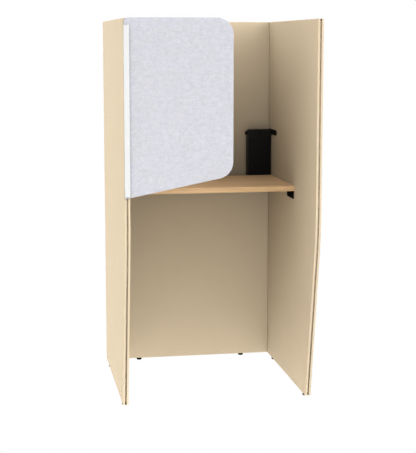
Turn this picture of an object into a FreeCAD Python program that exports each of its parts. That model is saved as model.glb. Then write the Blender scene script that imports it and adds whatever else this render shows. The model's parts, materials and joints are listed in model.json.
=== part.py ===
import FreeCAD, Part
import os
import re
import Sketcher

# A standing-height work booth for one person. Two side panels, cut back below the worktop, and a
# back panel stand on levelling feet and carry the worktop. A felt screen closes half of the front,
# and a lidded power box hangs in the back right corner, in the gap behind the worktop.
# Millimetres. X runs to the user's right, Y to the back, Z up. The origin is on the floor, under
# the middle of the booth's outline.

# Driving dimensions, one sheet cell each
SIZES = {
    # booth
    "booth_width": 900,
    "booth_depth": 1000,
    "panel_height": 1780,
    "floor_gap": 10,
    # panels: two sheet-steel trays on a wooden frame, open at the edges as a slot
    "panel_thick": 26,
    "sheet_thick": 1,
    "flange_width": 9.5,
    "edge_round": 1.2,
    "slot_depth": 10,
    "rail_width": 30,
    "core_clear": 0.3,
    "panel_gap": 0.5,
    # cut-back of the side panels
    "bend_height": 814,
    "bend_radius": 1200,
    "lean_angle": 10.8,
    # rails that join the back panel to the side panels
    "joint_rail_width": 6.6,
    "joint_rail_clear": 0.3,
    "joint_rail_margin": 30,
    "joint_screw_count": 5,
    # worktop
    "table_height": 992,
    "table_thick": 25,
    "table_depth": 505,
    "table_gap": 1,
    "table_rear_gap": 76,
    "edge_band_thick": 2,
    "edge_band_round": 1.5,
    # worktop brackets
    "bracket_length": 128,
    "bracket_height": 41,
    "bracket_plate": 3,
    "bracket_front_setback": 22,
    "bracket_rear_setback": 40,
    "bracket_corner": 5,
    "bracket_hole_share": 0.4,
    "cross_rail_height": 60,
    # felt screen
    "screen_thick": 10,
    "screen_width": 484,
    "screen_edge_inset": 4,
    "screen_rise": 3,
    "screen_low_height": 999.5,
    "screen_slope_angle": 11.2,
    "screen_corner": 75,
    "screen_inner_corner": 22,
    # clamp that holds the screen
    "clamp_bar_width": 20,
    "clamp_bar_thick": 3,
    "cover_width": 24,
    "cover_depth": 8,
    "cover_wall": 1.2,
    "cover_round": 1,
    "cover_top_gap": 33,
    "cover_low_gap": 8.5,
    "clamp_screw_count": 5,
    "slot_nut_width": 20,
    "slot_nut_length": 26,
    "slot_nut_thick": 7,
    # levelling feet
    "foot_radius": 13,
    "foot_height": 8.5,
    "foot_chamfer": 1.5,
    "foot_collar_radius": 7,
    "foot_stem_radius": 3,
    "foot_stem_clear": 0.1,
    "foot_stem_length": 38,
    "foot_rest_gap": 0.3,
    "insert_radius": 6,
    "insert_length": 18,
    "insert_bore_depth": 28,
    "foot_front_setback": 50,
    "foot_rear_setback": 134,
    "back_foot_setback": 146,
    # screws
    "screw_radius": 1.75,
    "screw_head_radius": 2.7,
    "screw_head_height": 2.6,
    "screw_bite": 14,
    "hole_clear": 0.3,
    # power box
    "box_width": 120,
    "box_depth": 62,
    "box_height": 234,
    "box_wall": 2,
    "box_side_gap": 4.5,
    "box_back_gap": 6,
    "box_drop": 10,
    "box_boss_radius": 8,
    "box_screw_inset": 40,
    "box_round": 2,
    "lid_height": 40,
    "lid_gap": 0.5,
    "lid_front_round": 4,
    "lid_hole_radius": 8,
    "hinge_ear_radius": 13,
    "hinge_ear_thick": 6,
    "hinge_ear_root": 16,
    "hinge_clear": 0.5,
    "pin_radius": 2.5,
    "pin_clear": 0.08,
    "pin_head_radius": 9,
    "pin_head_thick": 9,
    "socket_well_depth": 70,
    "socket_block_height": 45,
    "socket_clear": 0.3,
    "socket_radius": 18,
    "socket_recess": 12,
    "cable_hole_radius": 15,
    # hook bracket beside the power box
    "hook_arm_reach": 177,
    "hook_arm_height": 26,
    "hook_arm_lift": 16,
    "hook_side_clear": 0.5,
    "hook_leg_width": 25,
    "hook_leg_drop": 80,
    "hook_screw_setback": 20,
    # spare length of every cut
    "overrun": 2,
    # the middle of an equal step
    "half_share": 0.5,
}

# Where a pair of holes lies along its piece
PAIR_SHARES = (0.25, 0.75)

# Places worked out from the driving dimensions
PLACES = {
    "front": "(screen_thick + cover_depth - booth_depth) / 2",
    "back": "front + booth_depth",
    "half_width": "booth_width / 2",
    "inner_x": "half_width - panel_thick",
    "mid_panel_x": "half_width - panel_thick / 2",
    "back_face": "back - panel_thick",
    "mid_back_y": "back - panel_thick / 2",
    "panel_top": "floor_gap + panel_height",
    "frame_thick": "panel_thick - 2 * sheet_thick",
    "window_inset": "slot_depth + rail_width",
    "bend_tangent": "bend_radius * tan(lean_angle / 2)",
    "bottom_front": "front + (bend_height - floor_gap) * tan(lean_angle)",
    "back_half_width": "inner_x - panel_gap",
    "back_foot_x": "back_half_width - back_foot_setback",
    "table_under": "table_height - table_thick",
    "table_half_width": "inner_x - table_gap",
    "table_back": "back_face - table_rear_gap",
    "table_front": "table_back - table_depth",
    "cross_low": "table_under - bracket_height",
    "cross_high": "cross_low + cross_rail_height",
    "front_bracket_y": "table_front + bracket_front_setback",
    "rear_bracket_y": "table_back - bracket_rear_setback - bracket_length",
    "screen_left": "screen_edge_inset - half_width",
    "screen_right": "screen_left + screen_width",
    "screen_top": "panel_top + screen_rise",
    "screen_front": "front - screen_thick",
    "screen_right_low": "screen_low_height + screen_width * tan(screen_slope_angle)",
    "screen_tangent": "screen_corner * tan((90 - screen_slope_angle) / 2)",
    "cover_low": "screen_low_height + cover_low_gap",
    "cover_high": "screen_top - cover_top_gap",
    "cover_length": "cover_high - cover_low",
    "bar_low": "cover_low + cover_wall",
    "bar_length": "cover_length - 2 * cover_wall",
    "clamp_step": "bar_length / clamp_screw_count",
    "joint_rail_low": "floor_gap + joint_rail_margin",
    "joint_rail_length": "panel_height - 2 * joint_rail_margin",
    "joint_rail_depth": "slot_depth + panel_gap - joint_rail_clear",
    "joint_step": "joint_rail_length / joint_screw_count",
    "screw_hole": "screw_radius + hole_clear",
    "stem_bore": "foot_stem_radius + foot_stem_clear",
    "pin_bore": "pin_radius + pin_clear",
    "box_right": "inner_x - box_side_gap",
    "box_left": "box_right - box_width",
    "box_mid_x": "box_right - box_width / 2",
    "box_back": "back_face - box_back_gap",
    "box_front": "box_back - box_depth",
    "box_mid_y": "box_back - box_depth / 2",
    "box_low": "table_under - box_drop",
    "box_top": "box_low + box_height",
    "lid_low": "box_top + lid_gap",
    "lid_radius": "(lid_height - lid_gap) / 2",
    "lid_top": "box_top + lid_height",
    "pin_y": "box_back - lid_radius",
    "pin_z": "lid_top - lid_radius",
    "notch_front": "pin_y - hinge_ear_radius - hinge_clear",
    "socket_top": "box_top - socket_well_depth",
    "hook_left": "box_right + hook_side_clear",
    "hook_thick": "inner_x - hook_left",
    "hook_low": "box_top + hook_arm_lift",
    "hook_radius": "hook_arm_height / 2",
    "hook_mid": "hook_low + hook_radius",
    "hook_front": "box_back - hook_arm_reach",
    "hook_leg_front": "box_back - hook_leg_width",
    "hook_leg_low": "hook_low - hook_leg_drop",
}

SIDES = (("left", -1), ("right", 1))

doc = FreeCAD.newDocument("office_booth")
sheet = doc.addObject("Spreadsheet::Sheet", "Sizes")
for row, (alias, size) in enumerate(SIZES.items(), start=1):
    sheet.set(f"A{row}", alias)
    sheet.set(f"B{row}", str(size))
    sheet.setAlias(f"B{row}", alias)
doc.recompute()

parts = []


def bound(text):
    """An expression on the sheet's cells, with every place written out."""
    def word(match):
        name = match.group(0)
        if name in PLACES:
            return f"({bound(PLACES[name])})"
        return f"Sizes.{name}" if name in SIZES else name
    return re.sub(r"[a-z_]+", word, str(text))


def number(text):
    return float(sheet.evalExpression(bound(text)))


def bind(item, **properties):
    """Bind properties, or x, y and z of the placement, to expressions."""
    for name, text in properties.items():
        item.setExpression(f"Placement.Base.{name}" if name in "xyz" else name, bound(text))


def keep(item, label):
    """Name a finished piece and list it for export."""
    item.Label = label
    parts.append(item)
    return item


# Sketches and features of a body

def new_body(label):
    return keep(doc.addObject("PartDesign::Body", label), label)


def new_sketch(body, plane, offset="0"):
    """A sketch on one of the body's origin planes, moved along that plane's normal."""
    sketch = body.newObject("Sketcher::SketchObject", f"{body.Name}_sketch")
    features = body.Origin.OriginFeatures
    sketch.AttachmentSupport = [(next(f for f in features if f.Role == plane), "")]
    sketch.MapMode = "FlatFace"
    sketch.setExpression("AttachmentOffset.Base.z", bound(offset))
    return sketch


def fix_point(sketch, geometry, point, u, v):
    for kind, text in (("DistanceX", u), ("DistanceY", v)):
        index = sketch.addConstraint(Sketcher.Constraint(kind, geometry, point, number(text)))
        sketch.setExpression(f"Constraints[{index}]", bound(text))


def fix_radius(sketch, geometry, radius):
    index = sketch.addConstraint(Sketcher.Constraint("Radius", geometry, number(radius)))
    sketch.setExpression(f"Constraints[{index}]", bound(radius))


def arc_between(start, end, radius):
    """The counter-clockwise arc of under half a turn from start to end."""
    chord = end - start
    rise = (radius ** 2 - (chord.Length / 2) ** 2) ** 0.5
    left = FreeCAD.Vector(-chord.y, chord.x, 0).normalize()
    centre = (start + end) / 2 + left * rise
    angles = [FreeCAD.Vector(1, 0, 0).getAngle(end_point - centre) for end_point in (start, end)]
    signed = [a if p.y >= centre.y else -a for a, p in zip(angles, (start, end))]
    return Part.ArcOfCircle(Part.Circle(centre, FreeCAD.Vector(0, 0, 1), radius), *signed)


def draw_outline(sketch, corners):
    """Close an outline of (u, v) corners. A third entry is the radius of the arc that starts there."""
    points = [FreeCAD.Vector(number(c[0]), number(c[1]), 0) for c in corners]
    ids = []
    for corner, start, end in zip(corners, points, points[1:] + points[:1]):
        if len(corner) == 3:
            shape = arc_between(start, end, number(corner[2]))
        else:
            shape = Part.LineSegment(start, end)
        ids.append(sketch.addGeometry(shape))
    for index, following in zip(ids, ids[1:] + ids[:1]):
        sketch.addConstraint(Sketcher.Constraint("Coincident", index, 2, following, 1))
    for index, corner in zip(ids, corners):
        fix_point(sketch, index, 1, corner[0], corner[1])
        if len(corner) == 3:
            fix_radius(sketch, index, corner[2])


def draw_circles(sketch, centres, radius):
    for u, v in centres:
        centre = FreeCAD.Vector(number(u), number(v), 0)
        index = sketch.addGeometry(Part.Circle(centre, FreeCAD.Vector(0, 0, 1), number(radius)))
        fix_point(sketch, index, 3, u, v)
        fix_radius(sketch, index, radius)


def add_feature(body, kind, sketch, length, back_to_front):
    feature = body.newObject(f"PartDesign::{kind}", f"{body.Name}_{kind.lower()}")
    feature.Profile = sketch
    feature.Reversed = back_to_front
    bind(feature, Length=length)
    doc.recompute()
    return feature


def pad(body, plane, corners, length, offset="0"):
    sketch = new_sketch(body, plane, offset)
    draw_outline(sketch, corners)
    return add_feature(body, "Pad", sketch, length, False)


def pad_circles(body, plane, centres, radius, length, offset):
    sketch = new_sketch(body, plane, offset)
    draw_circles(sketch, centres, radius)
    return add_feature(body, "Pad", sketch, length, False)


def cut(body, sketch, depth, along_normal=False):
    """Pocket a drawn sketch, and make sure that it took something away."""
    before = body.Shape.Volume
    feature = add_feature(body, "Pocket", sketch, depth, along_normal)
    if body.Shape.Volume >= before:
        raise RuntimeError(f"{feature.Name} cuts nothing")
    return feature


def cut_outline(body, plane, corners, depth, offset="0", along_normal=False):
    sketch = new_sketch(body, plane, offset)
    draw_outline(sketch, corners)
    return cut(body, sketch, depth, along_normal)


def cut_holes(body, plane, centres, radius, depth, offset="0", along_normal=False):
    sketch = new_sketch(body, plane, offset)
    draw_circles(sketch, centres, radius)
    return cut(body, sketch, depth, along_normal)


def round_edges(body, radius, wanted):
    """Fillet the edges of the body's last feature whose bounding box, in the body's frame, is wanted."""
    base = body.Tip
    boxes = enumerate((edge.BoundBox for edge in base.Shape.Edges), start=1)
    names = [f"Edge{index}" for index, box in boxes if wanted(box)]
    fillet = body.newObject("PartDesign::Fillet", f"{body.Name}_fillet")
    fillet.Base = (base, names)
    bind(fillet, Radius=radius)
    doc.recompute()
    return fillet


def near(value, text):
    return abs(value - number(text)) < number("sheet_thick") / 100


def rectangle(u_low, u_high, v_low, v_high):
    return [(u_low, v_low), (u_high, v_low), (u_high, v_high), (u_low, v_high)]


# Primitive solids

AXES = {
    "+X": FreeCAD.Vector(1, 0, 0),
    "-X": FreeCAD.Vector(-1, 0, 0),
    "+Y": FreeCAD.Vector(0, 1, 0),
    "+Z": FreeCAD.Vector(0, 0, 1),
}


def cylinder(name, base, axis, radius, height):
    item = doc.addObject("Part::Cylinder", name)
    item.Placement.Rotation = FreeCAD.Rotation(AXES["+Z"], AXES[axis])
    bind(item, x=base[0], y=base[1], z=base[2], Radius=radius, Height=height)
    return item


def cuboid(name, base, size):
    item = doc.addObject("Part::Box", name)
    bind(item, x=base[0], y=base[1], z=base[2], Length=size[0], Width=size[1], Height=size[2])
    return item


def boolean(kind, name, base, tool):
    item = doc.addObject(f"Part::{kind}", name)
    item.Base = base
    item.Tool = tool
    return item


def screw(name, head, axis, length):
    """A pan-head screw from the outer face of its head along axis."""
    top = cylinder(f"{name}_head", head, axis, "screw_head_radius", "screw_head_height")
    shank = cylinder(f"{name}_shank", head, axis, "screw_radius", f"screw_head_height + {length}")
    return boolean("Fuse", name, top, shank)


def bundle(name, items):
    item = doc.addObject("Part::Compound", name)
    item.Links = items
    return item


def group(label, items):
    """One piece of separate, identical solids."""
    return keep(bundle(label, items), label)


# Panels

def side_outline(inset):
    """A side panel's outline in Y and Z, drawn in by inset all round."""
    vertex = f"bend_height + ({inset}) * tan(lean_angle / 2)"
    radius = f"bend_radius - ({inset})"
    tangent = f"({radius}) * tan(lean_angle / 2)"
    low = f"floor_gap + ({inset})"
    high = f"panel_top - ({inset})"
    rear = f"back - ({inset})"
    face = f"front + ({inset})"
    toe = f"front + ({inset}) / cos(lean_angle) + (bend_height - {low}) * tan(lean_angle)"
    return [
        (toe, low),
        (rear, low),
        (rear, high),
        (face, high),
        (face, f"{vertex} + {tangent}", radius),
        (f"{face} + {tangent} * sin(lean_angle)", f"{vertex} - {tangent} * cos(lean_angle)"),
    ]


def front_edge_at(height, inset):
    """Y of a line inside the front edge at a height, clear of the bend by at least inset."""
    drop = f"max(bend_height + bend_tangent - ({height}); 0)"
    return f"front + ({inset}) / cos(lean_angle) + {drop} * tan(lean_angle)"


def side_windows(inset, rail_inset):
    """The two openings of a side frame in Y and Z, below and above its cross rail."""
    low = f"floor_gap + ({inset})"
    toe = f"front + ({inset}) / cos(lean_angle) + (bend_height - {low}) * tan(lean_angle)"
    rear = f"back - ({inset})"
    under = f"cross_low - ({rail_inset})"
    over = f"cross_high + ({rail_inset})"
    high = f"panel_top - ({inset})"
    lower = [(toe, low), (rear, low), (rear, under), (front_edge_at(under, inset), under)]
    upper = [
        (front_edge_at(over, inset), over),
        (rear, over),
        (rear, high),
        (f"front + ({inset})", high),
    ]
    return lower, upper


def back_outline(inset):
    """The back panel's outline in X and Z, drawn in by inset all round."""
    across = f"back_half_width - ({inset})"
    return rectangle(f"-({across})", across, f"floor_gap + ({inset})", f"panel_top - ({inset})")


def tray(label, plane, outline, face_first, **place):
    """A sheet-steel skin with a flange all round. face_first puts the face at the start of the pad."""
    body = new_body(label)
    pad(body, plane, outline("0"), "flange_width")
    offset = "flange_width" if face_first else "0"
    depth = "flange_width - sheet_thick"
    cut_outline(body, plane, outline("sheet_thick"), depth, offset, not face_first)
    face = "0" if face_first else "flange_width"

    def on_face(box):
        ends = (box.XMin, box.XMax) if plane == "YZ_Plane" else (-box.YMin, -box.YMax)
        return all(near(end, face) for end in ends)

    round_edges(body, "edge_round", on_face)
    bind(body, **place)
    return body


def frame(label, plane, outline, windows, **place):
    """A wooden frame between two skins."""
    body = new_body(label)
    pad(body, plane, outline("slot_depth"), "frame_thick")
    for window in windows:
        cut_outline(body, plane, window, "frame_thick", "frame_thick")
    bind(body, **place)
    return body


def core(label, plane, outline, **place):
    """A honeycomb board in an opening of the frame."""
    body = new_body(label)
    pad(body, plane, outline, "frame_thick")
    bind(body, **place)


def foot_bores(body, places):
    """Bores for the feet's inserts, up into the bottom rail of a frame."""
    low = "floor_gap + slot_depth"
    cut_holes(body, "XY_Plane", places, "insert_radius + hole_clear", "insert_bore_depth", low, True)


HOOK_SCREWS = [
    ("hook_front + hook_radius", "hook_mid"),
    ("box_front - hook_screw_setback", "hook_mid"),
]
SIDE_FEET = {"front": "bottom_front + foot_front_setback", "rear": "back - foot_rear_setback"}
BRACKET_STARTS = {"front": "front_bracket_y", "rear": "rear_bracket_y"}


def bracket_screw_places():
    """Y and Z of the screws that hold the worktop's brackets to a side panel."""
    height = "table_under - bracket_height * (1 - bracket_hole_share)"
    starts = BRACKET_STARTS.values()
    return [(f"{start} + bracket_length * {share}", height) for start in starts for share in PAIR_SHARES]


def box_screw_places():
    """X and Z of the screws that hold the power box to the back panel."""
    heights = ("box_low + box_screw_inset", "box_top - box_screw_inset")
    return [(f"box_left + box_width * {share}", height) for height in heights for share in PAIR_SHARES]


def joint_screw_heights():
    count = int(number("joint_screw_count"))
    return [f"joint_rail_low + joint_step * ({index} + half_share)" for index in range(count)]


def inner_skin_holes(side):
    """Y and Z of every screw that passes through a side panel's inner skin."""
    holes = bracket_screw_places() + [("mid_back_y", height) for height in joint_screw_heights()]
    return holes + (HOOK_SCREWS if side == "right" else [])


def side_panel(side, sign):
    low_x = "-half_width" if sign < 0 else "inner_x"
    high_x = "-inner_x - flange_width" if sign < 0 else "half_width - flange_width"
    low_label, high_label = ("outer", "inner") if sign < 0 else ("inner", "outer")
    skins = {
        low_label: tray(f"{side}_{low_label}_skin", "YZ_Plane", side_outline, True, x=low_x),
        high_label: tray(f"{side}_{high_label}_skin", "YZ_Plane", side_outline, False, x=high_x),
    }
    face = "flange_width" if sign < 0 else "0"
    holes = inner_skin_holes(side)
    cut_holes(skins["inner"], "YZ_Plane", holes, "screw_hole", "sheet_thick", face, sign > 0)
    inside = f"{low_x} + sheet_thick"
    windows = side_windows("window_inset", "0")
    body = frame(f"{side}_frame", "YZ_Plane", side_outline, windows, x=inside)
    foot_bores(body, [("frame_thick / 2", y) for y in SIDE_FEET.values()])
    boards = side_windows("window_inset + core_clear", "core_clear")
    for level, board in zip(("lower", "upper"), boards):
        core(f"{side}_{level}_core", "YZ_Plane", board, x=inside)


def back_panel():
    tray("back_outer_skin", "XZ_Plane", back_outline, True, y="back")
    inner = tray("back_inner_skin", "XZ_Plane", back_outline, False, y="back_face + flange_width")
    cut_holes(inner, "XZ_Plane", box_screw_places(), "screw_hole", "sheet_thick", "flange_width")
    inside = "back - sheet_thick"
    body = frame("back_frame", "XZ_Plane", back_outline, [back_outline("window_inset")], y=inside)
    foot_bores(body, [(f"{sign} * back_foot_x", "-frame_thick / 2") for _, sign in SIDES])
    core("back_core", "XZ_Plane", back_outline("window_inset + core_clear"), y=inside)


def panel_joints():
    """Rails on the side panels that fill the slots in the back panel's ends, and their sunk screws."""
    screws = []
    for side, sign in SIDES:
        low_x = "-inner_x" if sign < 0 else "inner_x - joint_rail_depth"
        base = (low_x, "mid_back_y - joint_rail_width / 2", "joint_rail_low")
        bar = cuboid(f"{side}_rail_bar", base, ("joint_rail_depth", "joint_rail_width", "joint_rail_length"))
        face = f"{sign} * (inner_x - joint_rail_depth)"
        holes = []
        for index, height in enumerate(joint_screw_heights()):
            name = f"{side}_joint_screw_{index}"
            head = (face, "mid_back_y", height)
            axis = "+X" if sign > 0 else "-X"
            sink = cylinder(f"{name}_sink", head, axis, "screw_head_radius + hole_clear", "screw_head_height")
            through = cylinder(f"{name}_hole", head, axis, "screw_hole", "joint_rail_depth")
            holes.append(boolean("Fuse", f"{name}_cut", sink, through))
            length = "joint_rail_depth - screw_head_height + sheet_thick + screw_bite"
            screws.append(screw(name, head, axis, length))
        rail = boolean("Cut", f"{side}_joint_rail", bar, bundle(f"{side}_rail_holes", holes))
        keep(rail, f"{side}_joint_rail")
    group("joint_rail_screws", screws)


# Worktop

def tabletop():
    body = new_body("tabletop")
    top = rectangle("-table_half_width", "table_half_width", "table_front + edge_band_thick", "table_back")
    pad(body, "XY_Plane", top, "table_thick", "table_under")
    band = new_body("tabletop_edge_band")
    strip = rectangle("-table_half_width", "table_half_width", "table_front", "table_front + edge_band_thick")
    pad(band, "XY_Plane", strip, "table_thick", "table_under")

    def long_front_edge(box):
        return near(box.YMax, "table_front") and near(box.XLength, "2 * table_half_width")

    round_edges(band, "edge_band_round", long_front_edge)


def table_bracket(label, sign, start):
    """An angle bracket. Its corner lies where the worktop's underside meets the side panel."""
    body = new_body(label)
    reach = f"{-sign} * bracket_height"
    plate = f"{-sign} * bracket_plate"
    angle = [
        ("0", "0"),
        (reach, "0"),
        (reach, "-bracket_plate"),
        (plate, "-bracket_plate"),
        (plate, "-bracket_height"),
        ("0", "-bracket_height"),
    ]
    pad(body, "XZ_Plane", angle, "bracket_length")
    along = [f"-bracket_length * {share}" for share in PAIR_SHARES]
    panel_holes = [(y, "-bracket_height * (1 - bracket_hole_share)") for y in along]
    cut_holes(body, "YZ_Plane", panel_holes, "screw_hole", "bracket_plate", "0", sign < 0)
    table_holes = [(f"{reach} * (1 - bracket_hole_share)", y) for y in along]
    cut_holes(body, "XY_Plane", table_holes, "screw_hole", "bracket_plate")

    def free_corner(box):
        below = near(box.ZMax, "-bracket_height") and near(box.XLength, "bracket_plate")
        beside = near(box.XMin, reach) and near(box.XMax, reach) and near(box.ZLength, "bracket_plate")
        return below or beside

    round_edges(body, "bracket_corner", free_corner)
    bind(body, x=f"{sign} * inner_x", y=f"{start} + bracket_length", z="table_under")


def table_brackets():
    panel_screws = []
    table_screws = []
    for side, sign in SIDES:
        for place, start in BRACKET_STARTS.items():
            table_bracket(f"{side}_{place}_bracket", sign, start)
            for index, share in enumerate(PAIR_SHARES):
                y = f"{start} + bracket_length * {share}"
                x = f"{sign} * (inner_x - bracket_height * (1 - bracket_hole_share))"
                head = (x, y, "table_under - bracket_plate - screw_head_height")
                name = f"{side}_{place}_table_screw_{index}"
                table_screws.append(screw(name, head, "+Z", "bracket_plate + screw_bite"))
        for index, (y, z) in enumerate(bracket_screw_places()):
            head = (f"{sign} * (inner_x - bracket_plate - screw_head_height)", y, z)
            axis = "+X" if sign > 0 else "-X"
            name = f"{side}_panel_screw_{index}"
            panel_screws.append(screw(name, head, axis, "bracket_plate + sheet_thick + screw_bite"))
    group("bracket_panel_screws", panel_screws)
    group("bracket_table_screws", table_screws)


# Felt screen and its clamp

def clamp_heights():
    count = int(number("clamp_screw_count"))
    return [f"bar_low + clamp_step * ({index} + half_share)" for index in range(count)]


def front_screen():
    body = new_body("front_screen")
    slope_cos = "cos(screen_slope_angle)"
    slope_sin = "sin(screen_slope_angle)"
    outline = [
        ("screen_left", "screen_low_height"),
        (
            f"screen_right - screen_tangent * {slope_cos}",
            f"screen_right_low - screen_tangent * {slope_sin}",
            "screen_corner",
        ),
        ("screen_right", "screen_right_low + screen_tangent"),
        ("screen_right", "screen_top - screen_corner", "screen_corner"),
        ("screen_right - screen_corner", "screen_top"),
        ("screen_left + screen_inner_corner", "screen_top", "screen_inner_corner"),
        ("screen_left", "screen_top - screen_inner_corner"),
    ]
    pad(body, "XZ_Plane", outline, "screen_thick")
    holes = [("-mid_panel_x", height) for height in clamp_heights()]
    cut_holes(body, "XZ_Plane", holes, "screw_hole", "screen_thick", "screen_thick")
    bind(body, y="front")


def screen_clamp():
    bar = new_body("screen_clamp_bar")
    low_x = "-mid_panel_x - clamp_bar_width / 2"
    high_x = "-mid_panel_x + clamp_bar_width / 2"
    pad(bar, "XZ_Plane", rectangle(low_x, high_x, "bar_low", "bar_low + bar_length"), "clamp_bar_thick")
    holes = [("-mid_panel_x", height) for height in clamp_heights()]
    cut_holes(bar, "XZ_Plane", holes, "screw_hole", "clamp_bar_thick", "clamp_bar_thick")
    bind(bar, y="screen_front")
    screws = []
    nuts = []
    for index, height in enumerate(clamp_heights()):
        name = f"clamp_screw_{index}"
        head = ("-mid_panel_x", "screen_front - clamp_bar_thick - screw_head_height", height)
        length = "clamp_bar_thick + screen_thick + sheet_thick + slot_nut_thick"
        screws.append(screw(name, head, "+Y", length))
        low_x = "-mid_panel_x - slot_nut_width / 2"
        base = (low_x, "front + sheet_thick", f"{height} - slot_nut_length / 2")
        size = ("slot_nut_width", "slot_nut_thick", "slot_nut_length")
        block = cuboid(f"slot_nut_block_{index}", base, size)
        mouth = ("-mid_panel_x", "front + sheet_thick", height)
        hole = cylinder(f"slot_nut_hole_{index}", mouth, "+Y", "screw_hole", "slot_nut_thick")
        nuts.append(boolean("Cut", f"slot_nut_{index}", block, hole))
    group("clamp_screws", screws)
    group("slot_nuts", nuts)


def clamp_cover():
    """A white cap over the clamp bar, hollow from behind."""
    body = new_body("clamp_bar_cover")
    low_x = "-mid_panel_x - cover_width / 2"
    high_x = "-mid_panel_x + cover_width / 2"
    pad(body, "XZ_Plane", rectangle(low_x, high_x, "cover_low", "cover_high"), "cover_depth")
    hollow = rectangle(
        f"{low_x} + cover_wall", f"{high_x} - cover_wall", "cover_low + cover_wall", "cover_high - cover_wall"
    )
    cut_outline(body, "XZ_Plane", hollow, "cover_depth - cover_wall", "0", True)
    round_edges(body, "cover_round", lambda box: near(box.YMax, "-cover_depth"))
    bind(body, y="screen_front")


# Levelling feet

def levelling_foot(label, x, y):
    """A turned foot: pad, collar and threaded stem in one."""
    body = new_body(label)
    collar_top = "floor_gap - foot_rest_gap"
    stem_top = f"{collar_top} + foot_stem_length"
    profile = [
        ("0", "0"),
        ("foot_radius - foot_chamfer", "0"),
        ("foot_radius", "foot_chamfer"),
        ("foot_radius", "foot_height"),
        ("foot_collar_radius", "foot_height"),
        ("foot_collar_radius", collar_top),
        ("foot_stem_radius", collar_top),
        ("foot_stem_radius", stem_top),
        ("0", stem_top),
    ]
    sketch = new_sketch(body, "XZ_Plane")
    draw_outline(sketch, profile)
    turned = body.newObject("PartDesign::Revolution", f"{label}_turned")
    turned.Profile = sketch
    turned.ReferenceAxis = (sketch, ["V_Axis"])
    doc.recompute()
    bind(body, x=x, y=y)


def levelling_feet():
    places = {}
    for side, sign in SIDES:
        for place, y in SIDE_FEET.items():
            places[f"{side}_{place}_foot"] = (f"{sign} * mid_panel_x", y)
        places[f"back_{side}_foot"] = (f"{sign} * back_foot_x", "mid_back_y")
    inserts = []
    for label, (x, y) in places.items():
        levelling_foot(label, x, y)
        base = (x, y, "floor_gap + slot_depth")
        outer = cylinder(f"{label}_insert_outer", base, "+Z", "insert_radius", "insert_length")
        bore = cylinder(f"{label}_insert_bore", base, "+Z", "stem_bore", "insert_length")
        inserts.append(boolean("Cut", f"{label}_insert", outer, bore))
    group("foot_inserts", inserts)


# Power box

def half_round_top(centre_y, centre_z, radius, low_z):
    """An upright slab in Y and Z with a round top."""
    return [
        (f"{centre_y} - {radius}", low_z),
        (f"{centre_y} + {radius}", low_z),
        (f"{centre_y} + {radius}", centre_z, radius),
        (centre_y, f"{centre_z} + {radius}", radius),
        (f"{centre_y} - {radius}", centre_z),
    ]


def power_box_body():
    """A tall case, open at the top, with two hinge ears and four bosses at the back."""
    body = new_body("power_box_body")
    floor = rectangle("box_left", "box_right", "box_front", "box_back")
    pad(body, "XY_Plane", floor, "box_height", "box_low")
    round_edges(body, "box_round", lambda box: near(box.ZLength, "box_height"))
    well = rectangle(
        "box_left + box_wall", "box_right - box_wall", "box_front + box_wall", "box_back - box_wall"
    )
    cut_outline(body, "XY_Plane", well, "box_height - box_wall", "box_top")
    ear = half_round_top("pin_y", "pin_z", "hinge_ear_radius", "box_top - hinge_ear_root")
    for start in ("box_left", "box_right - hinge_ear_thick"):
        pad(body, "YZ_Plane", ear, "hinge_ear_thick", start)
    cut_holes(body, "YZ_Plane", [("pin_y", "pin_z")], "pin_bore", "box_width", "box_right")
    middle = [("box_mid_x", "box_mid_y")]
    cut_holes(body, "XY_Plane", middle, "cable_hole_radius", "box_wall", "box_low", True)
    bosses = box_screw_places()
    pad_circles(body, "XZ_Plane", bosses, "box_boss_radius", "box_back_gap", "-(back_face)")
    depth = "box_wall + box_back_gap"
    cut_holes(body, "XZ_Plane", bosses, "screw_hole", depth, "box_wall - (box_back)")
    cut_holes(body, "YZ_Plane", hook_leg_screws(), "screw_hole", "box_wall", "box_right")


def hook_leg_screws():
    middle = "hook_leg_front + hook_leg_width / 2"
    free = "(box_top - hinge_ear_root - hook_leg_low)"
    return [(middle, f"hook_leg_low + {free} * {share}") for share in PAIR_SHARES]


def power_box_lid():
    """A hollow lid whose round back turns on the hinge pin between the ears."""
    body = new_body("power_box_lid")
    profile = [
        ("box_front", "lid_low"),
        ("pin_y", "lid_low", "lid_radius"),
        ("pin_y + lid_radius", "pin_z", "lid_radius"),
        ("pin_y", "lid_top"),
        ("box_front + lid_front_round", "lid_top", "lid_front_round"),
        ("box_front", "lid_top - lid_front_round"),
    ]
    pad(body, "YZ_Plane", profile, "box_width", "box_left")
    notch = rectangle("notch_front", "box_back + overrun", "lid_low - overrun", "lid_top + overrun")
    depth = "hinge_ear_thick + hinge_clear"
    cut_outline(body, "YZ_Plane", notch, depth, "box_left", True)
    cut_outline(body, "YZ_Plane", notch, depth, "box_right")
    cut_holes(body, "YZ_Plane", [("pin_y", "pin_z")], "pin_bore", "box_width", "box_right")
    hollow = rectangle(
        "box_left + box_wall", "box_right - box_wall", "box_front + box_wall", "notch_front - box_wall"
    )
    cut_outline(body, "XY_Plane", hollow, "lid_height - lid_gap - box_wall", "lid_low", True)
    cut_holes(body, "XZ_Plane", [("box_mid_x", "pin_z")], "lid_hole_radius", "box_wall", "-(box_front)")


def lid_hinge_pin():
    base = ("box_left - pin_head_thick", "pin_y", "pin_z")
    head = cylinder("pin_head", base, "+X", "pin_head_radius", "pin_head_thick")
    shank = cylinder("pin_shank", base, "+X", "pin_radius", "pin_head_thick + box_width")
    keep(boolean("Fuse", "lid_hinge_pin", head, shank), "lid_hinge_pin")


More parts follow.
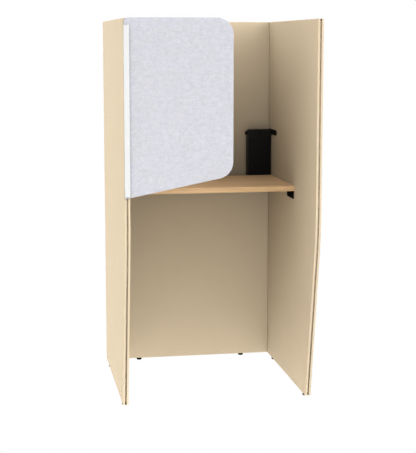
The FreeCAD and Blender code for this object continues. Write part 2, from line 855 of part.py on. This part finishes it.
def socket_block():
    """A block inside the box with two round sockets that face up."""
    body = new_body("socket_block")
    inset = "box_wall + socket_clear"
    block = rectangle(
        f"box_left + {inset}", f"box_right - ({inset})", f"box_front + {inset}", f"box_back - ({inset})"
    )
    pad(body, "XY_Plane", block, "socket_block_height", "socket_top - socket_block_height")
    sockets = [(f"box_left + box_width * {share}", "box_mid_y") for share in PAIR_SHARES]
    cut_holes(body, "XY_Plane", sockets, "socket_radius", "socket_recess", "socket_top")


def hook_bracket():
    """A plate between the box and the right panel, with an arm that runs forward as a hook."""
    body = new_body("hook_bracket")
    profile = [
        ("hook_leg_front", "hook_leg_low"),
        ("box_back", "hook_leg_low"),
        ("box_back", "hook_mid", "hook_radius"),
        ("box_back - hook_radius", "hook_low + hook_arm_height"),
        ("hook_front + hook_radius", "hook_low + hook_arm_height", "hook_radius"),
        ("hook_front", "hook_mid", "hook_radius"),
        ("hook_front + hook_radius", "hook_low"),
        ("hook_leg_front", "hook_low"),
    ]
    pad(body, "YZ_Plane", profile, "hook_thick", "hook_left")
    cut_holes(body, "YZ_Plane", HOOK_SCREWS, "screw_hole", "hook_thick", "inner_x")


def power_box_screws():
    wall_screws = []
    for index, (x, z) in enumerate(box_screw_places()):
        head = (x, "box_back - box_wall - screw_head_height", z)
        length = "box_wall + box_back_gap + sheet_thick + screw_bite"
        wall_screws.append(screw(f"box_wall_screw_{index}", head, "+Y", length))
    group("power_box_screws", wall_screws)
    hook_screws = []
    for index, (y, z) in enumerate(HOOK_SCREWS):
        head = ("hook_left - screw_head_height", y, z)
        length = "hook_thick + sheet_thick + screw_bite"
        hook_screws.append(screw(f"hook_panel_screw_{index}", head, "+X", length))
    for index, (y, z) in enumerate(hook_leg_screws()):
        head = ("box_right - box_wall - screw_head_height", y, z)
        length = "box_wall + hook_side_clear + hook_thick - sheet_thick"
        hook_screws.append(screw(f"hook_leg_screw_{index}", head, "+X", length))
    group("hook_screws", hook_screws)


for side, sign in SIDES:
    side_panel(side, sign)
back_panel()
panel_joints()
tabletop()
table_brackets()
front_screen()
screen_clamp()
clamp_cover()
levelling_feet()
power_box_body()
power_box_lid()
lid_hinge_pin()
socket_block()
hook_bracket()
power_box_screws()
doc.recompute()

for item in doc.Objects:
    if "Invalid" in item.State or "Error" in item.State:
        raise RuntimeError(f"{item.Name} failed: {item.State}")
for item in parts:
    if item.Shape.isNull() or not item.Shape.isValid():
        raise RuntimeError(f"{item.Label} has no valid shape")

os.makedirs("parts", exist_ok=True)
for item in parts:
    item.Shape.exportStep(f"parts/{item.Label}.step")
    print(item.Label, len(item.Shape.Solids), round(item.Shape.Volume))
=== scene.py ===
import json
import math

import bmesh
import bpy
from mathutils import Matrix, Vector, noise


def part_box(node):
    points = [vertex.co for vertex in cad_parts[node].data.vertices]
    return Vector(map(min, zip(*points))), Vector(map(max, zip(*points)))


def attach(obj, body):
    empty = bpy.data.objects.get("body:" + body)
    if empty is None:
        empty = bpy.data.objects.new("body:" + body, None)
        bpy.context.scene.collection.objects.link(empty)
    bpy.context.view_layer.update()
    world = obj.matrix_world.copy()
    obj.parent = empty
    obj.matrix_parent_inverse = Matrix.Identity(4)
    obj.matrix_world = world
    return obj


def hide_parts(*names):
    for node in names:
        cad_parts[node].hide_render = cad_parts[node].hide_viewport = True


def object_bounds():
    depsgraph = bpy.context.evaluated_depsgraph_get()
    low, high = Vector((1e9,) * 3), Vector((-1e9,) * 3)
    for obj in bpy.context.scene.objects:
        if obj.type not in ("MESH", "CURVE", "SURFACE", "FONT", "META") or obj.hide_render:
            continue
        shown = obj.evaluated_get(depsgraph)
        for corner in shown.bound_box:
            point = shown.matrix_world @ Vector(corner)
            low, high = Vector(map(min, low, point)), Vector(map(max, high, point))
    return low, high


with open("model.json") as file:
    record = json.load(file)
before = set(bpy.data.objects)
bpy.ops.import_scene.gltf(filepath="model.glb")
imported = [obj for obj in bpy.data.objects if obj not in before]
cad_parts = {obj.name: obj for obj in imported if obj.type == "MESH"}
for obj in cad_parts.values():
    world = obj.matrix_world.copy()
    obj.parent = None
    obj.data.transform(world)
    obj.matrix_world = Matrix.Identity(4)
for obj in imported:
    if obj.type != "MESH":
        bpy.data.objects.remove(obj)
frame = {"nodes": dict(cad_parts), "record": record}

cad_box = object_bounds()
nodes = frame["nodes"]
scene = bpy.context.scene

WHITE = (1.0, 1.0, 1.0, 1.0)
BLACK = (0.0, 0.0, 0.0, 1.0)

# Camera, in pixels, metres and degrees, fitted to the panels' long straight edges. The sensor is in mm.
PHOTO_WIDTH = 416
PHOTO_HEIGHT = 453
FOCAL_PIXELS = 1185.0
AXIS_PIXEL = (208.0, 205.81)
CAMERA_PLACE = (-0.9838, -5.6667, 1.6877)
CAMERA_LEVEL = 90.0
CAMERA_YAW = 9.9578
CAMERA_PITCH = 7.8798
SENSOR = 36.0

# Wide soft lights, each with the direction that it lies in, a tightness and a strength.
SOFT_LIGHTS = {
    "left": ((-1, 0, 0), 6.0, 0.71),
    "upper left": ((-1, 0, 1), 6.0, 0.9),
    "front left": ((-1, -1, 0), 6.0, 3.35),
    "left of the camera": ((-10, -17, 3), 12.0, 0.796),
    "front": ((0, -1, 0), 6.0, 0.8),
    "front right": ((1, -1, 0), 6.0, 2.88),
    "right": ((1, 0, 0), 1.0, 2.5),
    "behind": ((0, 1, 0), 1.0, 2.5),
    "above": ((0, 0, 1), 1.0, 0.64),
}

# The floor's tiles glow by themselves. Rows run from far in front of the booth to behind it, and columns
# from its left to its right. The middle column and the third row are the booth's own width and depth.
FLOOR_REACH = 30.0
FLOOR_SIDE = 0.9
FLOOR_FRONT = 2.0
FLOOR_GLOWS = {"dim": 0.27, "soft": 1.27, "bright": 1.73, "brightest": 3.11}
FLOOR_TILES = (
    ("dim", "brightest", "brightest", "brightest", "dim"),
    ("soft", "soft", "soft", "soft", "dim"),
    ("soft", "soft", "bright", "dim", "dim"),
    ("soft", "soft", "dim", "dim", "dim"),
)

# Backdrop and floor are plain white to the camera. One diffuse bounce and a display gamma below one give
# the picture its contrast.
WHITE_SEEN = 1.0
DIFFUSE_BOUNCES = 1
CONTRAST_GAMMA = 0.8

# Most values of a noise texture lie between these two.
NOISE_LOW = 0.3
NOISE_HIGH = 0.7

# The felt's two tones, and its fibres: the turns of their three layers and how fine they are.
FELT_GREY = (0.436, 0.437, 0.455)
FELT_BLUE = (0.439, 0.4385, 0.473)
FIBRE_TURNS = (25.0, -35.0, 80.0)
FIBRE_STRETCH = (160.0, 420.0, 900.0)

# The felt screen's form, in metres and degrees: rounded rims and a front that waves a little.
FELT_WELD = 0.0001
FELT_ROUND = 0.0022
FELT_ROUND_STEPS = 3
FELT_ROUND_PROFILE = 0.5
FELT_STEP = 0.03
FELT_WAVE = 0.0004
FELT_WAVE_SCALE = 7.0
FLAT_ANGLE = 1.0
RIM_ANGLE = 45.0
CREASE_ANGLE = 40.0
QUAD_CORNERS = 4
ACROSS = 0
UP = 2


def add_object(name, data):
    made = bpy.data.objects.new(name, data)
    scene.collection.objects.link(made)
    return made


def add_node(tree, kind, **settings):
    made = tree.nodes.new(kind)
    for key, value in settings.items():
        setattr(made, key, value)
    return made


def math_node(tree, operation, value, number):
    """One step of arithmetic. The second entry is a number or another socket."""
    made = add_node(tree, "ShaderNodeMath", operation=operation)
    tree.links.new(value, made.inputs[0])
    if isinstance(number, float):
        made.inputs[1].default_value = number
    else:
        tree.links.new(number, made.inputs[1])
    return made.outputs["Value"]


def show(tree, light, seen, output):
    """Light the scene with one shader, and show the other to the camera."""
    path = add_node(tree, "ShaderNodeLightPath")
    choose = add_node(tree, "ShaderNodeMixShader")
    tree.links.new(path.outputs["Is Camera Ray"], choose.inputs["Fac"])
    tree.links.new(light, choose.inputs[1])
    tree.links.new(seen, choose.inputs[2])
    tree.links.new(choose.outputs["Shader"], output.inputs["Surface"])


def start_material(name):
    material = bpy.data.materials.new(name)
    material.use_nodes = True
    tree = material.node_tree
    return material, tree, tree.nodes["Principled BSDF"]


def coordinates(tree, stretch=(1.0, 1.0, 1.0), turn=0.0):
    """The row frame's metres, turned about the depth axis and then stretched along each axis."""
    place = add_node(tree, "ShaderNodeTexCoord")
    mapping = add_node(tree, "ShaderNodeMapping")
    mapping.inputs["Rotation"].default_value = (0.0, math.radians(turn), 0.0)
    mapping.inputs["Scale"].default_value = stretch
    tree.links.new(place.outputs["Object"], mapping.inputs["Vector"])
    return mapping.outputs["Vector"]


def grain(tree, vector, scale=1.0, detail=2.0, rough=0.5, distortion=0.0):
    made = add_node(tree, "ShaderNodeTexNoise")
    made.inputs["Scale"].default_value = scale
    made.inputs["Detail"].default_value = detail
    made.inputs["Roughness"].default_value = rough
    made.inputs["Distortion"].default_value = distortion
    tree.links.new(vector, made.inputs["Vector"])
    return made.outputs["Fac"]


def ramp(tree, factor, colours, places=(NOISE_LOW, NOISE_HIGH)):
    """The factor as a colour, which passes through each of the colours at its place."""
    made = add_node(tree, "ShaderNodeValToRGB")
    stops = made.color_ramp.elements
    for place in places[1:-1]:
        stops.new(place)
    for stop, place, colour in zip(stops, places, colours):
        stop.position = place
        stop.color = (*colour, 1.0)
    tree.links.new(factor, made.inputs["Fac"])
    return made.outputs["Color"]


def span(tree, factor, low, high, start=NOISE_LOW, end=NOISE_HIGH):
    """The factor from start to end, spread over low to high."""
    made = add_node(tree, "ShaderNodeMapRange")
    made.inputs["From Min"].default_value = start
    made.inputs["From Max"].default_value = end
    made.inputs["To Min"].default_value = low
    made.inputs["To Max"].default_value = high
    tree.links.new(factor, made.inputs["Value"])
    return made.outputs["Result"]


def vary(tree, factor, middle, spread):
    """The factor as a number that varies about its middle by the spread."""
    return span(tree, factor, low=middle - spread, high=middle + spread)


def shade(tree, colour, factor):
    """The colour times a factor near one."""
    made = add_node(tree, "ShaderNodeVectorMath", operation="SCALE")
    tree.links.new(colour, made.inputs[0])
    tree.links.new(factor, made.inputs["Scale"])
    return made.outputs["Vector"]


def bump(tree, shader, height, depth, strength):
    made = add_node(tree, "ShaderNodeBump")
    made.inputs["Strength"].default_value = strength
    made.inputs["Distance"].default_value = depth
    tree.links.new(height, made.inputs["Height"])
    tree.links.new(made.outputs["Normal"], shader.inputs["Normal"])


def make_camera():
    data = bpy.data.cameras.new("camera")
    data.sensor_width = SENSOR
    data.lens = FOCAL_PIXELS * SENSOR / PHOTO_HEIGHT
    data.shift_x = (PHOTO_WIDTH / 2 - AXIS_PIXEL[0]) / PHOTO_HEIGHT
    data.shift_y = (AXIS_PIXEL[1] - PHOTO_HEIGHT / 2) / PHOTO_HEIGHT
    camera = add_object("camera", data)
    camera.location = CAMERA_PLACE
    camera.rotation_euler = (math.radians(CAMERA_LEVEL - CAMERA_PITCH), 0.0, -math.radians(CAMERA_YAW))
    scene.camera = camera


def make_world():
    world = bpy.data.worlds.new("studio")
    world.use_nodes = True
    tree = world.node_tree
    way = add_node(tree, "ShaderNodeTexCoord").outputs["Generated"]
    total = None
    for name, (direction, tightness, strength) in SOFT_LIGHTS.items():
        facing = add_node(tree, "ShaderNodeVectorMath", operation="DOT_PRODUCT", label=name)
        facing.inputs[1].default_value = Vector(direction).normalized()
        tree.links.new(way, facing.inputs[0])
        lit = math_node(tree, "MAXIMUM", facing.outputs["Value"], 0.0)
        lobe = math_node(tree, "POWER", lit, tightness)
        light = math_node(tree, "MULTIPLY", lobe, strength)
        total = light if total is None else math_node(tree, "ADD", total, light)
    dome = tree.nodes["Background"]
    dome.inputs["Color"].default_value = WHITE
    tree.links.new(total, dome.inputs["Strength"])
    backdrop = add_node(tree, "ShaderNodeBackground")
    backdrop.inputs["Color"].default_value = WHITE
    backdrop.inputs["Strength"].default_value = WHITE_SEEN
    show(tree, dome.outputs["Background"], backdrop.outputs["Background"], tree.nodes["World Output"])
    scene.world = world


def floor_material(name, strength):
    material, tree, shader = start_material(name)
    tree.nodes.remove(shader)
    glows = []
    for level in (strength, WHITE_SEEN):
        glow = add_node(tree, "ShaderNodeEmission")
        glow.inputs["Strength"].default_value = level
        glows.append(glow.outputs["Emission"])
    show(tree, *glows, tree.nodes["Material Output"])
    return material


def make_floor():
    """A wide floor of tiles under and round the booth, each with the glow that the table gives it."""
    low, high = cad_box
    across = (-FLOOR_REACH, -FLOOR_SIDE, low[0], high[0], FLOOR_SIDE, FLOOR_REACH)
    along = (-FLOOR_REACH, -FLOOR_FRONT, low[1], high[1], FLOOR_REACH)
    corners = [(x, y, 0.0) for y in along for x in across]
    count = len(across)
    tiles = []
    for row in range(len(along) - 1):
        for column in range(count - 1):
            first = row * count + column
            tiles.append((first, first + 1, first + count + 1, first + count))
    mesh = bpy.data.meshes.new("floor")
    mesh.from_pydata(corners, [], tiles)
    for name, glow in FLOOR_GLOWS.items():
        mesh.materials.append(floor_material(f"floor_{name}", glow))
    order = list(FLOOR_GLOWS)
    mesh.polygons.foreach_set("material_index", [order.index(name) for row in FLOOR_TILES for name in row])
    floor = add_object("floor", mesh)


def make_shade_card():
    """A black card, hidden from the camera, that keeps floor light out of the gap behind the worktop."""
    table_low, table_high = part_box("tabletop")
    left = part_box("left_inner_skin")[1].x
    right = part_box("right_inner_skin")[0].x
    front = table_high.y
    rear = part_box("back_inner_skin")[0].y
    level = table_low.z
    corners = [(left, front, level), (right, front, level), (right, rear, level), (left, rear, level)]
    mesh = bpy.data.meshes.new("shade_card")
    mesh.from_pydata(corners, [], [(0, 1, 2, 3)])
    material, _, shader = start_material("shade_black")
    shader.inputs["Base Color"].default_value = BLACK
    shader.inputs["Specular IOR Level"].default_value = 0.0
    mesh.materials.append(material)
    card = add_object("shade_card", mesh)
    card.visible_camera = False


def coat(name, light, dark, rough, specular, peel, peel_depth):
    """Powder coat: faint cloudiness, an orange-peel skin and roughness that varies with it."""
    material, tree, shader = start_material(name)
    place = coordinates(tree)
    cloud = grain(tree, place, scale=5.0, detail=3.0, rough=0.6)
    skin = grain(tree, place, scale=peel)
    tone = ramp(tree, cloud, (dark, light))
    tone = shade(tree, tone, vary(tree, skin, middle=1.0, spread=0.015))
    tree.links.new(tone, shader.inputs["Base Color"])
    tree.links.new(vary(tree, skin, middle=rough, spread=0.05), shader.inputs["Roughness"])
    shader.inputs["Specular IOR Level"].default_value = specular
    bump(tree, shader, skin, depth=peel_depth, strength=0.6)
    return material


def felt():
    """Pressed felt: two tones of fibre in soft blotches, with a fuzzy skin of crossed fibres."""
    material, tree, shader = start_material("felt")
    place = coordinates(tree)
    blotches = grain(tree, place, scale=17.0, detail=4.0, rough=0.6, distortion=0.6)
    oval = coordinates(tree, stretch=(0.72, 1.0, 1.1))
    clumps = grain(tree, oval, scale=60.0, detail=3.0, rough=0.55, distortion=0.8)
    tufts = grain(tree, place, scale=130.0, detail=3.0, rough=0.6)
    fibres = None
    for turn in FIBRE_TURNS:
        streaks = grain(tree, coordinates(tree, FIBRE_STRETCH, turn))
        fibres = streaks if fibres is None else math_node(tree, "MAXIMUM", fibres, streaks)
    tone = ramp(tree, blotches, (FELT_GREY, FELT_BLUE), places=(0.38, 0.60))
    tone = shade(tree, tone, vary(tree, clumps, middle=1.0, spread=0.058))
    tone = shade(tree, tone, vary(tree, tufts, middle=1.0, spread=0.05))
    tone = shade(tree, tone, span(tree, fibres, low=0.93, high=1.05, start=0.45, end=0.75))
    tree.links.new(tone, shader.inputs["Base Color"])
    shader.inputs["Roughness"].default_value = 0.95
    shader.inputs["Specular IOR Level"].default_value = 0.1
    shader.inputs["Sheen Weight"].default_value = 0.15
    shader.inputs["Sheen Roughness"].default_value = 0.6
    bump(tree, shader, fibres, depth=0.0006, strength=0.8)
    return material


def wood(name, light, middle, dark, bands=22.0):
    """Wood or wood laminate with its grain across the booth: wavy figure, fine streaks and pores."""
    material, tree, shader = start_material(name)
    boards = coordinates(tree, stretch=(1.6, bands, bands))
    figure = grain(tree, boards, detail=4.0, rough=0.55, distortion=0.6)
    streaks = grain(tree, coordinates(tree, stretch=(6.0, 220.0, 220.0)), detail=3.0, rough=0.6)
    pores = grain(tree, coordinates(tree, stretch=(45.0, 1300.0, 1300.0)))
    tone = ramp(tree, figure, (dark, middle, light), places=(0.28, 0.5, 0.72))
    tone = shade(tree, tone, span(tree, streaks, low=0.9, high=1.08))
    tone = shade(tree, tone, span(tree, pores, low=0.9, high=1.0, end=0.45))
    tree.links.new(tone, shader.inputs["Base Color"])
    tree.links.new(vary(tree, streaks, middle=0.56, spread=0.06), shader.inputs["Roughness"])
    shader.inputs["Specular IOR Level"].default_value = 0.25
    bump(tree, shader, pores, depth=0.0002, strength=0.5)
    return material


def plastic(name, light, dark, rough, specular):
    """Moulded plastic with a fine spark-eroded skin."""
    material, tree, shader = start_material(name)
    place = coordinates(tree)
    cloud = grain(tree, place, scale=14.0, detail=3.0, rough=0.6)
    skin = grain(tree, place, scale=1800.0)
    tree.links.new(ramp(tree, cloud, (dark, light)), shader.inputs["Base Color"])
    tree.links.new(vary(tree, skin, middle=rough, spread=0.06), shader.inputs["Roughness"])
    shader.inputs["Specular IOR Level"].default_value = specular
    bump(tree, shader, skin, depth=0.0001, strength=0.4)
    return material


def metal(name, light, dark, rough):
    """Plated or drawn metal with faint streaks."""
    material, tree, shader = start_material(name)
    streaks = grain(tree, coordinates(tree, stretch=(40.0, 40.0, 600.0)), detail=3.0, rough=0.6)
    tree.links.new(ramp(tree, streaks, (dark, light)), shader.inputs["Base Color"])
    tree.links.new(vary(tree, streaks, middle=rough, spread=0.08), shader.inputs["Roughness"])
    shader.inputs["Metallic"].default_value = 1.0
    return material


def paper(name, light, dark):
    """Brown kraft paper of the honeycomb core."""
    material, tree, shader = start_material(name)
    fleck = grain(tree, coordinates(tree), scale=240.0, detail=4.0, rough=0.7)
    tree.links.new(ramp(tree, fleck, (dark, light)), shader.inputs["Base Color"])
    shader.inputs["Roughness"].default_value = 0.9
    bump(tree, shader, fleck, depth=0.0004, strength=0.5)
    return material


finishes = {
    "cream_coat": coat(
        "cream_coat", light=(0.532, 0.454, 0.3435), dark=(0.522, 0.446, 0.3365),
        rough=0.7, specular=0.02, peel=650.0, peel_depth=0.00025,
    ),
    "black_coat": coat(
        "black_coat", light=(0.0035, 0.0033, 0.0031), dark=(0.003, 0.0028, 0.0027),
        rough=0.7, specular=0.02, peel=1100.0, peel_depth=0.0003,
    ),
    "black_coat_box": coat(
        "black_coat_box", light=(0.006, 0.0057, 0.0053), dark=(0.005, 0.0048, 0.0044),
        rough=0.38, specular=0.2, peel=1100.0, peel_depth=0.0003,
    ),
    # The lid's coat: the box's black coat painted lighter, a painted highlight on the lid.
    "lid_coat_painted_highlight": coat(
        "lid_coat_painted_highlight", light=(0.012, 0.0114, 0.0107), dark=(0.0105, 0.01, 0.0093),
        rough=0.38, specular=0.2, peel=1100.0, peel_depth=0.0003,
    ),
    # The frame wood is painted paler than real wood so that the shaded groove it lines renders lighter:
    # painted light.
    "frame_wood": wood(
        "frame_wood", light=(0.84, 0.70, 0.52), middle=(0.78, 0.64, 0.47), dark=(0.70, 0.56, 0.40),
    ),
    "worktop": wood(
        "worktop", light=(0.737, 0.53, 0.337), middle=(0.684, 0.487, 0.306), dark=(0.606, 0.423, 0.257),
    ),
    "worktop_edge": wood(
        "worktop_edge", light=(0.669, 0.485, 0.306), middle=(0.606, 0.431, 0.253),
        dark=(0.506, 0.343, 0.186), bands=75.0,
    ),
    "white_plastic": plastic(
        "white_plastic", light=(0.526, 0.527, 0.525), dark=(0.516, 0.517, 0.515),
        rough=0.4, specular=0.2,
    ),
    "foot_rubber": plastic(
        "foot_rubber", light=(0.0035, 0.0034, 0.0032), dark=(0.003, 0.0029, 0.0027),
        rough=0.7, specular=0.02,
    ),
    "socket_plastic": plastic(
        "socket_plastic", light=(0.032, 0.031, 0.03), dark=(0.026, 0.025, 0.024),
        rough=0.5, specular=0.3,
    ),
    "rail_aluminium": metal(
        "rail_aluminium", light=(0.74, 0.74, 0.75), dark=(0.66, 0.66, 0.67), rough=0.35,
    ),
    "screw_steel": metal("screw_steel", light=(0.5, 0.5, 0.51), dark=(0.4, 0.4, 0.41), rough=0.4),
    "honeycomb": paper("honeycomb", light=(0.58, 0.47, 0.34), dark=(0.44, 0.34, 0.23)),
    "felt": felt(),
}

# Two nodes look a little different from the rest of their slot. The lid's coat is the box's black coat
# painted lighter: a painted highlight along the lid.
OWN_FINISHES = {"tabletop_edge_band": "worktop_edge", "power_box_lid": "lid_coat_painted_highlight"}


def dress_nodes():
    for entry in frame["record"]["subparts"]:
        node = entry["node"]
        finish = OWN_FINISHES.get(node, entry["material_slot"])
        mesh = nodes[node].data
        mesh.materials.clear()
        mesh.materials.append(finishes[finish])


def round_rims(work):
    """Round the screen's two rims, where its front and back meet the narrow side."""
    rims = []
    for edge in work.edges:
        one_depth = abs(edge.verts[0].co.y - edge.verts[1].co.y) < FELT_WELD
        if one_depth and edge.calc_face_angle(0.0) > math.radians(RIM_ANGLE):
            rims.append(edge)
    bmesh.ops.bevel(
        work, geom=rims, offset=FELT_ROUND, segments=FELT_ROUND_STEPS, profile=FELT_ROUND_PROFILE,
        affect="EDGES", clamp_overlap=True,
    )


def cut_rows(work, low, high, axis):
    """Cut the screen into even rows along one axis, so that its front can wave."""
    reach = high[axis] - low[axis]
    count = int(reach / FELT_STEP)
    direction = Vector((0.0, 0.0, 0.0))
    direction[axis] = 1.0
    for step in range(1, count + 1):
        place = direction * (low[axis] + reach * step / (count + 1))
        everything = [*work.verts, *work.edges, *work.faces]
        bmesh.ops.bisect_plane(work, geom=everything, dist=FELT_WELD, plane_co=place, plane_no=direction)


def wave_front(work, middle):
    """Press the front half back by up to one wave, so that it stays within the CAD outline."""
    for vert in work.verts:
        if vert.co.y < middle:
            wave = noise.noise(vert.co * FELT_WAVE_SCALE)
            vert.co.y += FELT_WAVE * (wave + 1) / 2


def felt_screen():
    low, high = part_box("front_screen")
    work = bmesh.new()
    work.from_mesh(nodes["front_screen"].data)
    bmesh.ops.remove_doubles(work, verts=work.verts, dist=FELT_WELD)
    bmesh.ops.dissolve_limit(
        work, angle_limit=math.radians(FLAT_ANGLE), verts=work.verts, edges=work.edges,
        use_dissolve_boundaries=False,
    )
    round_rims(work)
    for axis in (ACROSS, UP):
        cut_rows(work, low, high, axis)
    wave_front(work, (low.y + high.y) / 2)
    bmesh.ops.triangulate(work, faces=[face for face in work.faces if len(face.verts) > QUAD_CORNERS])
    mesh = bpy.data.meshes.new("felt_screen")
    work.to_mesh(mesh)
    work.free()
    mesh.polygons.foreach_set("use_smooth", [True] * len(mesh.polygons))
    mesh.set_sharp_from_angle(angle=math.radians(CREASE_ANGLE))
    mesh.materials.clear()
    mesh.materials.append(finishes["felt"])
    screen = add_object("felt_screen", mesh)
    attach(screen, "booth")
    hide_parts("front_screen")


scene.view_settings.view_transform = "Standard"
scene.view_settings.gamma = CONTRAST_GAMMA
scene.cycles.diffuse_bounces = DIFFUSE_BOUNCES
make_camera()
make_world()
make_floor()
make_shade_card()
dress_nodes()
felt_screen()
